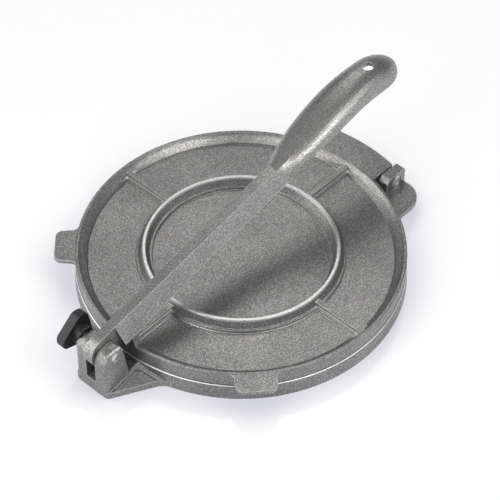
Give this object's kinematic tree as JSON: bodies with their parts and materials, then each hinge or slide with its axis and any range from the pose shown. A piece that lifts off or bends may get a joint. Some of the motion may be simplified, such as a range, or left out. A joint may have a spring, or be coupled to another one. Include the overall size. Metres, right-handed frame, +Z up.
{
  "type": "tortilla press",
  "caption": "Round hinged press with two cast plates, a long lever with a spoon shaped grip pivoted in a fork, and a lobed hand knob on the pivot.",
  "frame": {"origin": "centre of the round plates, on the table", "axes": "+Z up, +X from the lever's pivot toward the plate hinge, +Y toward the side with the knob"},
  "size_m": [0.2808, 0.2122, 0.0973],
  "materials": {
    "cast_base": "grey hammertone on cast aluminium",
    "cast_plate": "grey hammertone on cast aluminium",
    "cast_lever": "grey hammertone on cast aluminium",
    "steel_pin": "bright zinc plated",
    "steel_stud": "bright zinc plated",
    "black_plastic": "black moulded, satin"
  },
  "bodies": {
    "base_body": {"base": "cast_base", "hinge_pin": "steel_pin"},
    "plate_body": {"top_plate": "cast_plate"},
    "lever_body": {"lever": "cast_lever"},
    "knob_body": {"pivot_stud": "steel_stud", "knob": "black_plastic"}
  },
  "joints": [
    {"name": "lever_swing", "type": "hinge", "parent": "base_body", "child": "lever_body", "pos_m": [-0.1244, 0, 0.0306], "axis": [0, -1, 0], "range_deg": [0, 170]},
    {"name": "plate_open", "type": "hinge", "parent": "base_body", "child": "plate_body", "pos_m": [0.1161, 0, 0.0157], "axis": [0, 1, 0], "range_deg": [0, 100]},
    {"name": "knob_turn", "type": "hinge", "parent": "base_body", "child": "knob_body", "pos_m": [-0.1244, 0, 0.0306], "axis": [0, 1, 0], "continuous": true}
  ],
  "couplings": [
    {"joint": "plate_open", "follows": "lever_swing", "ratio": 0.085}
  ]
}
